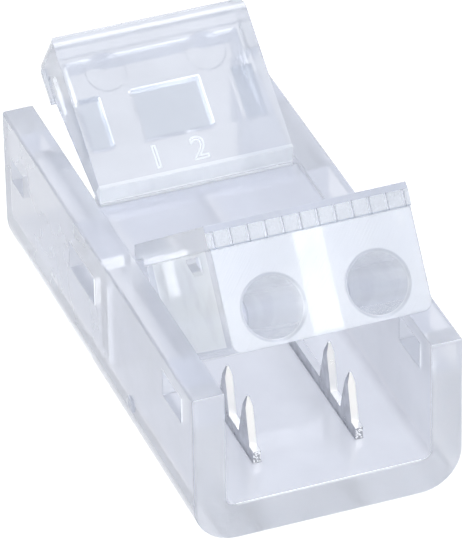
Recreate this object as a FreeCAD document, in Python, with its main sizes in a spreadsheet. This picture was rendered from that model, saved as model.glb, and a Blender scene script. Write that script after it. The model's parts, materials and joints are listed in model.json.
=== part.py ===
import FreeCAD, Part
import math
import os
import Sketcher

# Strip-to-wire connector for a two-track light strip. X runs across the troughs, Y from the wire
# mouth at the front to the strip mouth at the rear, and Z up from the flat underside. The origin is
# the middle of the underside. Both lids stand half open, as their film hinges hold them.

# Driving dimensions, in millimetres and degrees
SIZES = {
    # Moulded housing
    "body_height": 6.7,
    "trough_width": 8.28,
    "wall_thick": 1.26,
    "floor_thick": 1.58,
    "bottom_round": 1.7,
    "upright_round": 0.12,
    "rim_round": 0.1,
    "trough_round": 0.35,
    # Both troughs and the bridge between them, with the stop wall under its front edge
    "wire_trough": 10.06,
    "bridge_length": 3.74,
    "strip_trough": 7.65,
    "bridge_drop": 0.2,
    "bridge_thick": 1.1,
    "stop_thick": 0.75,
    # Windows in the side walls
    "wire_window_inset": 1.25,
    "wire_window_length": 2.0,
    "wire_window_depth": 0.65,
    "wire_window_tall": 1.15,
    "core_window_length": 2.85,
    "core_window_tall": 1.25,
    "strip_window_inset": 0.95,
    "strip_window_length": 1.4,
    "strip_window_depth": 1.65,
    "strip_window_tall": 1.05,
    # Stamped contacts
    "blade_thick": 0.3,
    "blade_seat": 0.3,
    "bar_rise": 0.5,
    "blade_front_inset": 2.2,
    "strip_spike_inset": 2.19,
    "spike_rise": 1.98,
    "spike_base": 1.15,
    "spike_lean": 0.45,
    "bar_tail": 0.14,
    "spike_gap": 2.15,
    "spike_offset": 0.4,
    "spike_point": 0.08,
    "spike_sharpening": 0.42,
    "seat_clearance": 0.02,
    # Film hinges and the closing of both lids
    "film_thick": 0.2,
    "film_end": 0.08,
    "hinge_gap": 0.16,
    "hinge_rise": 0.05,
    "hinge_bevel": 31,
    "lid_clearance": 0.14,
    "lid_setback": 0.05,
    "open_angle": 36,
    # Wire lid
    "wire_lid_rise": 0.5,
    "wire_plate_thick": 0.9,
    "block_inset": 0.05,
    "block_heel": 1.0,
    "block_clearance": 0.12,
    "block_round": 0.4,
    "bore_web": 1.8,
    "bore_wall": 0.71,
    "bore_depth": 7.4,
    "bore_floor": 0.23,
    "bore_lead": 0.12,
    "slot_clearance": 0.15,
    "slot_skin": 0.3,
    "slot_swing_allow": 1.75,
    "core_width": 1.2,
    "core_skin": 0.9,
    "core_back": 2.2,
    "grip_grooves": 12,
    "grip_margin": 0.23,
    "grip_groove_width": 0.12,
    "grip_groove_deep": 0.1,
    "grip_lip": 0.26,
    # Strip lid
    "strip_lid_rise": 0.65,
    "strip_setback": 0.35,
    "strip_lid_deep": 2.0,
    "strip_tip_round": 0.7,
    "strip_tip_slope": 0.25,
    "strip_corner_round": 0.55,
    "cheek_thick": 0.4,
    "tip_wall": 1.15,
    "rib_width": 1.3,
    "rib_drop": 0.6,
    "recess_start": 2.1,
    "recess_length": 2.17,
    "pad_diameter": 1.64,
    "pad_deep": 0.1,
    # Snap nibs on the sides of both lids
    "nib_length": 1.3,
    "nib_face": 0.18,
    "nib_ramp": 0.5,
    "nib_play": 0.05,
    "nib_wall_gap": 0.02,
}

NEAR = 0.005

doc = FreeCAD.newDocument("StripConnector")
sheet = doc.addObject("Spreadsheet::Sheet", "Sizes")
for row, (alias, value) in enumerate(SIZES.items(), 1):
    sheet.set(f"A{row}", alias.replace("_", " "))
    sheet.set(f"B{row}", str(value))
    sheet.setAlias(f"B{row}", alias)
doc.recompute()


def size(text):
    """The expression with every driving dimension in it read from the sheet."""
    words = [f"Sizes.{word}" if word in SIZES else word for word in text.split()]
    return " ".join(words)


def new_body(name):
    """An empty body for one piece, labelled with the piece's name."""
    body = doc.addObject("PartDesign::Body", name)
    body.Label = name
    return body


def new_sketch(body, name, role, offset="0"):
    """A sketch on one of the body's own planes, moved along the plane's normal."""
    plane = next(item for item in body.Origin.OriginFeatures if item.Role == role)
    sketch = body.newObject("Sketcher::SketchObject", name)
    sketch.AttachmentSupport = [(plane, "")]
    sketch.MapMode = "FlatFace"
    sketch.setExpression(".AttachmentOffset.Base.z", size(offset))
    return sketch


def pin_point(sketch, geometry, point, start, across, up):
    """Dimensions that hold a point of the sketch at (across, up) from the origin."""
    for kind, value, text in (("DistanceX", start.x, across), ("DistanceY", start.y, up)):
        index = sketch.addConstraint(Sketcher.Constraint(kind, -1, 1, geometry, point, value))
        sketch.setExpression(f"Constraints[{index}]", size(text))


def draw_outline(sketch, corners):
    """A closed outline of straight lines through the corners, in order."""
    first = sketch.GeometryCount
    turn = 2 * math.pi / len(corners)
    starts = [
        FreeCAD.Vector(math.cos(number * turn), math.sin(number * turn), 0)
        for number in range(len(corners))
    ]
    for number, start in enumerate(starts):
        following = starts[(number + 1) % len(corners)]
        sketch.addGeometry(Part.LineSegment(start, following), False)
    for number in range(len(corners)):
        following = first + (number + 1) % len(corners)
        sketch.addConstraint(Sketcher.Constraint("Coincident", first + number, 2, following, 1))
    for number, (across, up) in enumerate(corners):
        pin_point(sketch, first + number, 1, starts[number], across, up)


def draw_rectangle(sketch, left, right, low, high):
    """A closed rectangle between two places across and two places up."""
    draw_outline(sketch, [(left, low), (right, low), (right, high), (left, high)])


def draw_circle(sketch, across, up, diameter):
    """A circle about a point, with its diameter as a dimension."""
    centre = FreeCAD.Vector(1, 1, 0)
    circle = Part.Circle(centre, FreeCAD.Vector(0, 0, 1), 0.5)
    index = sketch.addGeometry(circle, False)
    pin_point(sketch, index, 3, centre, across, up)
    dimension = sketch.addConstraint(Sketcher.Constraint("Diameter", index, 1.0))
    sketch.setExpression(f"Constraints[{dimension}]", size(diameter))


def draw_corner(sketch, hand, across, up, radius):
    """The waste outside a rounded corner: an arc inside, and four straight sides round it."""
    side = -1 if hand.startswith("0 -") else 1
    flat, round_end = f"{hand} ( {across} - {radius} )", f"{up} - {radius}"
    corners = [
        (flat, up),
        (flat, f"{up} + {radius}"),
        (f"{hand} ( {across} + {radius} )", f"{up} + {radius}"),
        (f"{hand} ( {across} + {radius} )", round_end),
        (f"{hand} {across}", round_end),
    ]
    first = sketch.GeometryCount
    starts = [FreeCAD.Vector(*(sketch.evalExpression(size(text)) for text in corner), 0) for corner in corners]
    for start, following in zip(starts, starts[1:]):
        sketch.addGeometry(Part.LineSegment(start, following), False)
    centre = FreeCAD.Vector(starts[0].x, starts[-1].y, 0)
    circle = Part.Circle(centre, FreeCAD.Vector(0, 0, 1), abs(starts[-1].x - centre.x))
    quarter = math.pi / 2
    begin = 0 if side > 0 else quarter
    arc = sketch.addGeometry(Part.ArcOfCircle(circle, begin, begin + quarter), False)
    arc_ends = (2, 1) if side > 0 else (1, 2)
    for number in range(3):
        sketch.addConstraint(Sketcher.Constraint("Coincident", first + number, 2, first + number + 1, 1))
    sketch.addConstraint(Sketcher.Constraint("Coincident", arc, arc_ends[0], first, 1))
    sketch.addConstraint(Sketcher.Constraint("Coincident", arc, arc_ends[1], first + 3, 2))
    for number, (text_across, text_up) in enumerate(corners[:4]):
        pin_point(sketch, first + number, 1, starts[number], text_across, text_up)
    pin_point(sketch, first + 3, 2, starts[4], *corners[4])
    dimension = sketch.addConstraint(Sketcher.Constraint("Radius", arc, circle.Radius))
    sketch.setExpression(f"Constraints[{dimension}]", size(radius))


def pad(body, name, sketch, length, symmetric=True):
    """Material grown from the sketch, to both sides of it or along its normal."""
    feature = body.newObject("PartDesign::Pad", name)
    feature.Profile = sketch
    feature.setExpression("Length", size(length))
    feature.SideType = "Symmetric" if symmetric else "One side"
    doc.recompute()
    return feature


def pocket(body, name, sketch, length=None, along_normal=False):
    """Material cut away from the sketch: right through both ways, or to a depth one way."""
    before = body.Shape.Volume
    feature = body.newObject("PartDesign::Pocket", name)
    feature.Profile = sketch
    if length is None:
        feature.SideType = "Symmetric"
        feature.Type = "ThroughAll"
    else:
        feature.setExpression("Length", size(length))
        feature.Reversed = along_normal
    doc.recompute()
    if not body.Shape.Volume < before:
        raise RuntimeError(f"{name} removes nothing")
    return feature


def edges_at(feature, **places):
    """Names of the straight edges that lie wholly at the given x, y or z places."""
    found = []
    for number, edge in enumerate(feature.Shape.Edges, 1):
        box = edge.BoundBox
        spans = {"x": (box.XMin, box.XMax), "y": (box.YMin, box.YMax), "z": (box.ZMin, box.ZMax)}
        ends = [(end, place) for axis, place in places.items() for end in spans[axis]]
        if edge.Curve.TypeId == "Part::GeomLine" and all(abs(end - place) < NEAR for end, place in ends):
            found.append(f"Edge{number}")
    return found


def soften(body, kind, name, amount_name, amount, edges):
    """A fillet or chamfer along the named edges of the body's last feature."""
    base = body.Tip
    feature = body.newObject(f"PartDesign::{kind}", name)
    feature.Base = (base, edges)
    feature.setExpression(amount_name, size(amount))
    doc.recompute()
    return feature


# Places that several pieces share, as expressions and as the lengths that they give
LENGTH = "( wire_trough + bridge_length + strip_trough )"
MOUTH = f"( 0 - {LENGTH} / 2 )"
REAR = f"( {LENGTH} / 2 )"
HALF_TROUGH = "( trough_width / 2 )"
BRIDGE_FRONT = f"( {MOUTH} + wire_trough )"
BRIDGE_REAR = f"( {REAR} - strip_trough )"
BRIDGE_TOP = "( body_height - bridge_drop )"
PIVOT_UP = "( body_height - bridge_drop + hinge_rise )"
WIRE_PIVOT = f"( {BRIDGE_FRONT} - hinge_gap )"
STRIP_PIVOT = f"( {BRIDGE_REAR} + hinge_gap )"
BAR_TOP = "( floor_thick + bar_rise )"
HALF_LID = "( trough_width / 2 - lid_clearance )"
HALF_BLOCK = f"( {HALF_LID} - block_inset )"
BORE = f"( {HALF_BLOCK} - bore_wall - bore_web / 2 )"
LANE = f"( ( {HALF_BLOCK} - bore_wall + bore_web / 2 ) / 2 )"
STRIP_TIP = f"( {REAR} - strip_spike_inset )"
BAR_END = f"( {STRIP_TIP} - spike_lean + spike_base + bar_tail )"

half_length = (SIZES["wire_trough"] + SIZES["bridge_length"] + SIZES["strip_trough"]) / 2
half_body = SIZES["trough_width"] / 2 + SIZES["wall_thick"]
half_trough = SIZES["trough_width"] / 2
half_lid = half_trough - SIZES["lid_clearance"]


def make_housing():
    """One moulding: a trough open at both ends, bridged in the middle over a stop wall."""
    body = new_body("housing")

    section = new_sketch(body, "trough_section", "XZ_Plane")
    outer = "( trough_width / 2 + wall_thick )"
    draw_outline(section, [
        (f"0 - {outer}", "0"),
        (outer, "0"),
        (outer, "body_height"),
        (HALF_TROUGH, "body_height"),
        (HALF_TROUGH, "floor_thick"),
        (f"0 - {HALF_TROUGH}", "floor_thick"),
        (f"0 - {HALF_TROUGH}", "body_height"),
        (f"0 - {outer}", "body_height"),
    ])
    trough = pad(body, "trough", section, LENGTH)
    lower = edges_at(trough, x=-half_body, z=0) + edges_at(trough, x=half_body, z=0)
    rounded = soften(body, "Fillet", "rounded_bottom", "Radius", "bottom_round", lower)
    corners = [name for x in (-half_trough, half_trough)
               for name in edges_at(rounded, x=x, z=SIZES["floor_thick"])]
    rounded = soften(body, "Fillet", "trough_corners", "Radius", "trough_round", corners)
    uprights = [name for x in (-half_body, half_body) for y in (-half_length, half_length)
                for name in edges_at(rounded, x=x, y=y)]
    rounded = soften(body, "Fillet", "upright_corners", "Radius", "upright_round", uprights)
    rims = [name for x in (-half_body, half_body)
            for name in edges_at(rounded, x=x, z=SIZES["body_height"])]
    soften(body, "Fillet", "rounded_rims", "Radius", "rim_round", rims)

    roof = new_sketch(body, "bridge_side", "YZ_Plane")
    roof_under = f"( {BRIDGE_TOP} - bridge_thick )"
    draw_outline(roof, [
        (BRIDGE_FRONT, "floor_thick / 2"),
        (f"{BRIDGE_FRONT} + stop_thick", "floor_thick / 2"),
        (f"{BRIDGE_FRONT} + stop_thick", roof_under),
        (BRIDGE_REAR, roof_under),
        (BRIDGE_REAR, BRIDGE_TOP),
        (BRIDGE_FRONT, BRIDGE_TOP),
    ])
    pad(body, "bridge", roof, "trough_width + wall_thick")

    seats = new_sketch(body, "contact_seats", "XY_Plane", "floor_thick - blade_seat")
    for side in ("0 -", "0 +"):
        draw_rectangle(
            seats,
            f"{side} {LANE} - blade_thick / 2 - seat_clearance",
            f"{side} {LANE} + blade_thick / 2 + seat_clearance",
            f"{MOUTH} + blade_front_inset - seat_clearance",
            f"{BAR_END} + seat_clearance",
        )
    pocket(body, "contact_slots", seats, "blade_seat + bar_rise + seat_clearance", along_normal=True)

    windows = new_sketch(body, "wall_windows", "YZ_Plane")
    wire_top = "( body_height - wire_window_depth )"
    strip_top = "( body_height - strip_window_depth )"
    draw_rectangle(windows, f"{MOUTH} + wire_window_inset",
                   f"{MOUTH} + wire_window_inset + wire_window_length",
                   f"{wire_top} - wire_window_tall", wire_top)
    draw_rectangle(windows, f"{BRIDGE_FRONT} + stop_thick",
                   f"{BRIDGE_FRONT} + stop_thick + core_window_length",
                   f"{roof_under} - core_window_tall", roof_under)
    draw_rectangle(windows, f"{REAR} - strip_window_inset - strip_window_length",
                   f"{REAR} - strip_window_inset",
                   f"{strip_top} - strip_window_tall", strip_top)
    pocket(body, "windows", windows)
    return body


def make_contact(name, side):
    """A blade stamped from plated sheet: a bar with two wire spikes and one strip spike."""
    body = new_body(name)
    profile = new_sketch(body, f"{name}_profile", "YZ_Plane")
    front = f"( {MOUTH} + blade_front_inset )"
    first = f"( {front} + spike_offset )"
    second = f"( {first} + spike_gap )"
    third = f"( {STRIP_TIP} - spike_lean )"
    corners = [(front, "floor_thick - blade_seat"), (front, BAR_TOP)]
    for foot in (first, second, third):
        corners += [
            (foot, BAR_TOP),
            (f"{foot} + spike_lean", f"{BAR_TOP} + spike_rise"),
            (f"{foot} + spike_lean + spike_point", f"{BAR_TOP} + spike_rise"),
            (f"{foot} + spike_base", BAR_TOP),
        ]
    corners += [(BAR_END, BAR_TOP), (BAR_END, "floor_thick - blade_seat")]
    draw_outline(profile, corners)
    pad(body, f"{name}_blade", profile, "blade_thick")

    # Both cheeks of every spike are ground back to a point
    tips = new_sketch(body, f"{name}_tips", "XZ_Plane")
    crown = f"( {BAR_TOP} + spike_rise )"
    for hand in ("0 -", "0 +"):
        draw_outline(tips, [
            (f"{hand} blade_thick / 2", f"{crown} - spike_sharpening"),
            (f"{hand} blade_thick", f"{crown} - spike_sharpening"),
            (f"{hand} blade_thick", f"{crown} + spike_point"),
            (f"{hand} spike_point / 2", f"{crown} + spike_point"),
            (f"{hand} spike_point / 2", crown),
        ])
    pocket(body, f"{name}_points", tips)
    body.setExpression(".Placement.Base.x", size(f"{side} {LANE}"))
    return body


def add_nibs(body, name, offset, catch, flank):
    """A ramped snap nib on both sides of a lid, flat on top, grown forward from the offset."""
    nibs = new_sketch(body, f"{name}_section", "XZ_Plane", offset)
    tip = f"( {HALF_TROUGH} - nib_wall_gap )"
    draw_outline(nibs, [
        (f"0 - {tip}", catch),
        (tip, catch),
        (tip, f"{catch} - nib_face"),
        (flank, f"{catch} - nib_face - nib_ramp"),
        (f"0 - {flank}", f"{catch} - nib_face - nib_ramp"),
        (f"0 - {tip}", f"{catch} - nib_face"),
    ])
    pad(body, name, nibs, "nib_length")


def make_wire_lid():
    """The thick lid that carries both wires in bores and forces them down on the spikes."""
    body = new_body("wire_lid")
    reach = "( wire_trough - hinge_gap - lid_setback )"
    half_film = "( film_thick / 2 )"
    plate_under = "( wire_lid_rise - wire_plate_thick )"
    block_under = f"( {BAR_TOP} + block_clearance - {PIVOT_UP} )"
    bore_up = f"( {block_under} + bore_floor + {BORE} / 2 )"

    # Film, hinge leaf and top plate: the leaf's end is bevelled so that the lid can fold back
    leaf = new_sketch(body, "leaf_side", "YZ_Plane")
    draw_outline(leaf, [
        ("film_end", f"0 - {half_film}"),
        ("film_end", half_film),
        ("0", half_film),
        (f"0 - ( wire_lid_rise - {half_film} ) * tan( hinge_bevel )", "wire_lid_rise"),
        (f"0 - {reach} + grip_groove_deep", "wire_lid_rise"),
        (f"0 - {reach}", "wire_lid_rise - grip_lip"),
        (f"0 - {reach}", plate_under),
        ("0 - block_heel", plate_under),
        ("0 - block_heel", f"0 - {half_film}"),
    ])
    pad(body, "leaf_and_plate", leaf, f"2 * {HALF_LID}")

    heel = new_sketch(body, "block_side", "YZ_Plane")
    draw_rectangle(heel, f"0 - {reach}", "0 - block_heel", block_under, f"{plate_under} + {half_film}")
    block = pad(body, "block", heel, f"2 * {HALF_BLOCK}")
    under = (SIZES["floor_thick"] + SIZES["bar_rise"] + SIZES["block_clearance"]
             - SIZES["body_height"] + SIZES["bridge_drop"] - SIZES["hinge_rise"])
    block_side = half_lid - SIZES["block_inset"]
    lower = edges_at(block, x=-block_side, z=under) + edges_at(block, x=block_side, z=under)
    soften(body, "Fillet", "block_corners", "Radius", "block_round", lower)

    # Closed, the nib lies in the middle of the wire window with its catch just under the top
    window_middle = "( wire_window_inset + wire_window_length / 2 )"
    catch = f"( body_height - wire_window_depth - nib_play - {PIVOT_UP} )"
    nib_place = f"wire_trough - hinge_gap - {window_middle}"
    add_nibs(body, "nibs", nib_place, catch, HALF_BLOCK)

    bores = new_sketch(body, "bore_circles", "XZ_Plane", reach)
    for side in ("0 -", "0 +"):
        draw_circle(bores, f"{side} {LANE}", bore_up, BORE)
    bored = pocket(body, "wire_bores", bores, "bore_depth")
    bore_radius = body.evalExpression(size(BORE)) / 2
    bore_edges = [
        f"Edge{number}" for number, edge in enumerate(bored.Shape.Edges, 1)
        if edge.Curve.TypeId == "Part::GeomCircle"
        and abs(edge.Curve.Radius - bore_radius) < NEAR
        and abs(edge.BoundBox.YMin - bored.Shape.BoundBox.YMin) < NEAR
    ]
    soften(body, "Chamfer", "bore_leads", "Size", "bore_lead", bore_edges)

    # The spikes come up through a slot under each bore and swing back in it as the lid lifts. A skin
    # at the block's end keeps each bore's mouth whole.
    slots = new_sketch(body, "spike_slots", "XY_Plane", block_under)
    first = f"( {MOUTH} + blade_front_inset + spike_offset - {WIRE_PIVOT} )"
    for side in ("0 -", "0 +"):
        draw_rectangle(
            slots,
            f"{side} {LANE} - blade_thick / 2 - slot_clearance",
            f"{side} {LANE} + blade_thick / 2 + slot_clearance",
            f"0 - {reach} + slot_skin",
            f"{first} + spike_gap + spike_lean + slot_swing_allow",
        )
    pocket(body, "spike_entries", slots, f"bore_floor + {BORE} / 2", along_normal=True)

    # A cored pocket between the bores keeps the block's walls even
    core = new_sketch(body, "core_outline", "XY_Plane", plate_under)
    draw_rectangle(core, "0 - core_width / 2", "core_width / 2",
                   f"0 - {reach} + core_skin", "0 - core_back")
    pocket(body, "core_pocket", core, f"{plate_under} - {block_under}")

    # Grip grooves, evenly spaced across the front edge of the plate
    groove = new_sketch(body, "grip_groove", "XZ_Plane", reach)
    span = f"( {HALF_LID} - grip_margin )"
    pitch = f"( 2 * {span} / ( grip_grooves - 1 ) )"
    draw_rectangle(groove, f"0 - {span} - grip_groove_width / 2", f"0 - {span} + grip_groove_width / 2",
                   plate_under, "wire_lid_rise - grip_lip")
    cut = pocket(body, "first_groove", groove, "grip_groove_deep")
    pattern = body.newObject("PartDesign::LinearPattern", "grip_grooves")
    pattern.Originals = [cut]
    pattern.Direction = (groove, ["H_Axis"])
    pattern.Mode = "Spacing"
    pattern.setExpression("Offset", size(pitch))
    pattern.setExpression("Occurrences", size("grip_grooves"))
    body.Tip = pattern
    doc.recompute()

    place_lid(body, WIRE_PIVOT, "0 - open_angle")
    return body


def make_strip_lid():
    """The wedge-shaped lid that presses the strip's pads down on the strip spikes."""
    body = new_body("strip_lid")
    reach = f"( {REAR} - strip_setback - {STRIP_PIVOT} )"
    half_film = "( film_thick / 2 )"
    side = new_sketch(body, "lid_side", "YZ_Plane")
    draw_outline(side, [
        ("0 - film_end", f"0 - {half_film}"),
        ("0 - film_end", half_film),
        ("0", half_film),
        (f"( strip_lid_rise - {half_film} ) * tan( hinge_bevel )", "strip_lid_rise"),
        (reach, "strip_lid_rise"),
        (f"{reach} - strip_tip_slope", "0 - strip_lid_deep"),
    ])
    wedge = pad(body, "wedge", side, f"2 * {HALF_LID}")
    tip = wedge.Shape.BoundBox.YMax
    rise = SIZES["strip_lid_rise"]
    soften(body, "Fillet", "rounded_tip", "Radius", "strip_tip_round", edges_at(wedge, y=tip, z=rise))
    corners = new_sketch(body, "tip_corners", "XY_Plane")
    for hand in ("0 -", "0 +"):
        draw_corner(corners, hand, HALF_LID, reach, "strip_corner_round")
    pocket(body, "rounded_corners", corners)

    window_middle = "( strip_window_inset + strip_window_length / 2 )"
    catch = f"( body_height - strip_window_depth - nib_play - {PIVOT_UP} )"
    nib_place = f"{STRIP_PIVOT} - {REAR} + {window_middle}"
    add_nibs(body, "strip_nibs", nib_place, catch, HALF_LID)

    # The underside is hollow inside two cheeks and the tip's wall. Nearer the hinge the roof steps up
    # beside two ribs.
    inner = f"( {LANE} - rib_width / 2 )"
    outer = f"( {LANE} + rib_width / 2 )"
    cheek = f"( {HALF_LID} - cheek_thick )"
    recess_end = "( recess_start + recess_length )"
    hollow = new_sketch(body, "hollow_outline", "XY_Plane", f"0 - {half_film} - rib_drop")
    draw_rectangle(hollow, f"0 - {cheek}", cheek, "recess_start", f"{reach} - tip_wall")
    pocket(body, "hollow", hollow, "strip_lid_deep")

    recesses = new_sketch(body, "recess_outlines", "XY_Plane", f"0 - {half_film}")
    draw_rectangle(recesses, f"0 - {inner}", inner, "recess_start", recess_end)
    draw_rectangle(recesses, outer, cheek, "recess_start", recess_end)
    draw_rectangle(recesses, f"0 - {cheek}", f"0 - {outer}", "recess_start", recess_end)
    pocket(body, "recesses", recesses, "strip_lid_deep")

    # A shallow round pad is sunk in the roof over each strip spike
    pads = new_sketch(body, "pad_circles", "XY_Plane", f"pad_deep - {half_film} - rib_drop")
    for hand in ("0 -", "0 +"):
        draw_circle(pads, f"{hand} {LANE}", f"{STRIP_TIP} - {STRIP_PIVOT}", "pad_diameter")
    pocket(body, "spike_pads", pads, "strip_lid_deep")

    place_lid(body, STRIP_PIVOT, "open_angle")
    return body


def place_lid(body, pivot, angle):
    """The lid's own origin lies on its hinge axis: put it on the bridge's edge and swing it open."""
    body.Placement = FreeCAD.Placement(FreeCAD.Vector(), FreeCAD.Rotation(FreeCAD.Vector(1, 0, 0), 1))
    body.setExpression(".Placement.Base.y", size(pivot))
    body.setExpression(".Placement.Base.z", size(PIVOT_UP))
    body.setExpression(".Placement.Rotation.Angle", size(angle))


pieces = [
    make_housing(),
    make_contact("contact_left", "0 -"),
    make_contact("contact_right", "0 +"),
    make_wire_lid(),
    make_strip_lid(),
]
doc.recompute()

for item in doc.Objects:
    if "Invalid" in item.State or "Error" in item.State:
        raise RuntimeError(f"{item.Label} did not compute: {item.State}")
for piece in pieces:
    if piece.Shape.isNull() or not piece.Shape.isValid() or len(piece.Shape.Solids) != 1:
        raise RuntimeError(f"{piece.Label} is not one valid solid")

os.makedirs("parts", exist_ok=True)
for piece in pieces:
    piece.Shape.exportStep(f"parts/{piece.Label}.step")
    box = piece.Shape.BoundBox
    print(piece.Label, f"volume {piece.Shape.Volume:.3f}", f"y {box.YMin:.2f} to {box.YMax:.2f}",
          f"z {box.ZMin:.2f} to {box.ZMax:.2f}")
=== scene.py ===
import json
import math
from typing import NamedTuple

import bmesh
import bpy
from bpy.props import FloatProperty, FloatVectorProperty, IntProperty, PointerProperty
from mathutils import Matrix, Vector


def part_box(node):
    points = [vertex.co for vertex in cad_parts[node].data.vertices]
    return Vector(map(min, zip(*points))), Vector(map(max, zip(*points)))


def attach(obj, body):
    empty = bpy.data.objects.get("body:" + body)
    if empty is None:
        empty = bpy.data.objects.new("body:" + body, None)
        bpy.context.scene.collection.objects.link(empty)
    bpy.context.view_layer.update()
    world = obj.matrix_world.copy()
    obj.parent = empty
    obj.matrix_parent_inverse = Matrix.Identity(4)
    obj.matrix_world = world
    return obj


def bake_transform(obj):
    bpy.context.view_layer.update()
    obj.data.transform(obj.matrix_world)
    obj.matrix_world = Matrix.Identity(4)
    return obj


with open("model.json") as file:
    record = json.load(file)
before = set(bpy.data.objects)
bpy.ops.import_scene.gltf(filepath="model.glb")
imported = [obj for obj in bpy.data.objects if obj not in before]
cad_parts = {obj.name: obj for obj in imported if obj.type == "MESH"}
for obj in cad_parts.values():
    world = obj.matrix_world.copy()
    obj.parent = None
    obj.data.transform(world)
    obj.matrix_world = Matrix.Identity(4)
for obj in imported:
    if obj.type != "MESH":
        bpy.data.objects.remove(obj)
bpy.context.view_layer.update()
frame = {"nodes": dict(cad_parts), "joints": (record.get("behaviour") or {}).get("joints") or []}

bl_info = {
    "name": "Strip Connector Dressing",
    "version": (1, 0, 0),
    "blender": (4, 5, 0),
    "location": "View3D > Sidebar > Connector",
    "description": "Dresses the packed connector: clear mouldings, plated contacts, hinge films, marks",
    "category": "Object",
}

MM = 0.001

# Hinge axes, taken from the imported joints
JOINTS = {joint["name"]: joint for joint in frame["joints"]}
WIRE_AXIS = Vector(JOINTS["wire_lid_hinge"]["pos_m"])
STRIP_AXIS = Vector(JOINTS["strip_lid_hinge"]["pos_m"])
LID_TILT = math.radians(36)

# Refraction of the plastic, slant of the streaks on its ground faces and rays that round its edges
PLASTIC_IOR = 1.58
STREAK_SLANT = math.radians(-50)
EDGE_SAMPLES = 6

# Depth and strength of the sheet's rolling lines, and radius of its edges, in metres
ROLLING_DEPTH = 0.000003
ROLLING_STRENGTH = 0.8
SHEET_EDGE_ROUND = 0.00002

# Film ends, in millimetres from the hinge axis towards the bridge and down
FILM_ROOT_INSET = 0.165
FILM_ROOT_DROP = 0.14
FILM_LEAF_INSET = 0.07
FILM_ROOT_HANDLE = 0.05
FILM_LEAF_HANDLE = 0.04
FILM_BEND_STEPS = 8
FILM_SECTION_POINTS = 240
FILM_CREASE_SCALE = 5200

# Lower left corner of the track numbers on the strip lid, in millimetres across and from the hinge
NUMBERS_CORNER = (-1.75, 0.7)
TEXT_SIZE_FOR_HEIGHT = 1.38

# Middle of the gate on the left wall, in millimetres along and up
GATE_MIDDLE = (-3.885, 2.12)
GATE_STEPS = 40
GATE_SINK = 0.00001
# Share of the gate's diameter, and rise in millimetres, of each ring of its outline
GATE_RINGS = ((0.5, 0.0), (0.5, 0.05), (0.42, 0.09), (0.2, 0.1), (0.12, 0.07))

# Name, place, target, size in metres and power in watts of each lamp
LAMPS = (
    ("front_right_lamp", (0.11, -0.3, 0.225), (0, 0, 0.006), (0.16, 0.12), 0.24),
    ("top_lamp", (0.103, 0.086, 0.334), (0, 0, 0.005), (0.14, 0.22), 0.38),
    ("left_lamp", (-0.35, -0.05, 0.16), (0, 0, 0.005), (0.1, 0.08), 0.11),
)
SKY_COLOUR = (0.9, 0.95, 1.0, 1)
SKY_STRENGTH = 0.5
FLOOR_HALF = 0.6
FLOOR_DROP = 0.00002
# Glow that lifts the floor to white for the camera alone, with the shadow kept
FLOOR_LIFT = 0.42
FLOOR_LIFT_COLOUR = (1, 0.99, 0.97, 1)

# The fitted camera: azimuth, elevation and roll in degrees, target in millimetres, distance in metres
CAMERA_TURNS = (-20.285, 34.05, -1.071)
CAMERA_TARGET = (0.300, -0.075, 4.669)
CAMERA_DISTANCE = 0.237563
CAMERA_SHIFT = (-0.0040, -0.00937)
SENSOR_WIDTH = 36


class Patch(NamedTuple):
    """A box of a piece's own frame, in millimetres, with a finish of its own: a mould finish, painted shade
    or a painted highlight.
    """

    middle: tuple
    half: tuple
    tone: tuple
    matt: float = 0.0
    streaks: float = 0.0
    grain: float = 0.0
    painted_glint: float = 0.0
    fade: float = 0.04


class PlasticSettings(bpy.types.PropertyGroup):
    """Clear moulded plastic of the housing and both lids."""

    housing_colour: FloatVectorProperty(
        name="Housing Colour", description="Tint of the clear housing", subtype="COLOR",
        size=3, min=0, max=1, default=(0.85, 0.872, 0.96))
    lid_colour: FloatVectorProperty(
        name="Lid Colour", description="Tint of both clear lids", subtype="COLOR",
        size=3, min=0, max=1, default=(0.852, 0.878, 0.96))
    clearness: FloatProperty(
        name="Clearness", description="Share of the light that passes instead of scattering",
        subtype="FACTOR", min=0, max=1, default=0.64)
    light_passing: FloatProperty(
        name="Light Passing", description="Share of the soft light that reaches inside through each face",
        subtype="FACTOR", min=0, max=1, default=0.96)
    edge_round: FloatProperty(
        name="Edge Round", description="Radius of the worn mould's edges, which catch the light",
        subtype="DISTANCE", unit="LENGTH", min=0, max=0.001, precision=6, default=0.00007)
    # Strength of the glow that paints highlights on the matt walls and edges
    painted_glow_strength: FloatProperty(
        name="Painted Glow Strength", description="Light led inside the plastic that leaves at its matt walls",
        min=0, max=3, default=1.3)
    gloss_roughness: FloatProperty(
        name="Gloss Roughness", description="Roughness of the polished mould faces",
        subtype="FACTOR", min=0, max=1, default=0.08)
    ripple_depth: FloatProperty(
        name="Ripple Depth", description="Depth of the faint flow ripples", subtype="DISTANCE",
        unit="LENGTH", min=0, max=0.0001, precision=6, default=0.0000028)


class MetalSettings(bpy.types.PropertyGroup):
    """Tin-plated contact blades."""

    plating_colour: FloatVectorProperty(
        name="Plating Colour", description="Colour of the plated sides", subtype="COLOR",
        size=3, min=0, max=1, default=(0.62, 0.63, 0.66))
    # Sheared edges, painted near white as a painted highlight
    edge_highlight_colour: FloatVectorProperty(
        name="Edge Highlight Colour", description="Colour of the bright sheared edges", subtype="COLOR",
        size=3, min=0, max=1, default=(0.96, 0.96, 0.96))
    plating_roughness: FloatProperty(
        name="Plating Roughness", description="Roughness of the plated sheet",
        subtype="FACTOR", min=0, max=1, default=0.22)


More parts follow.
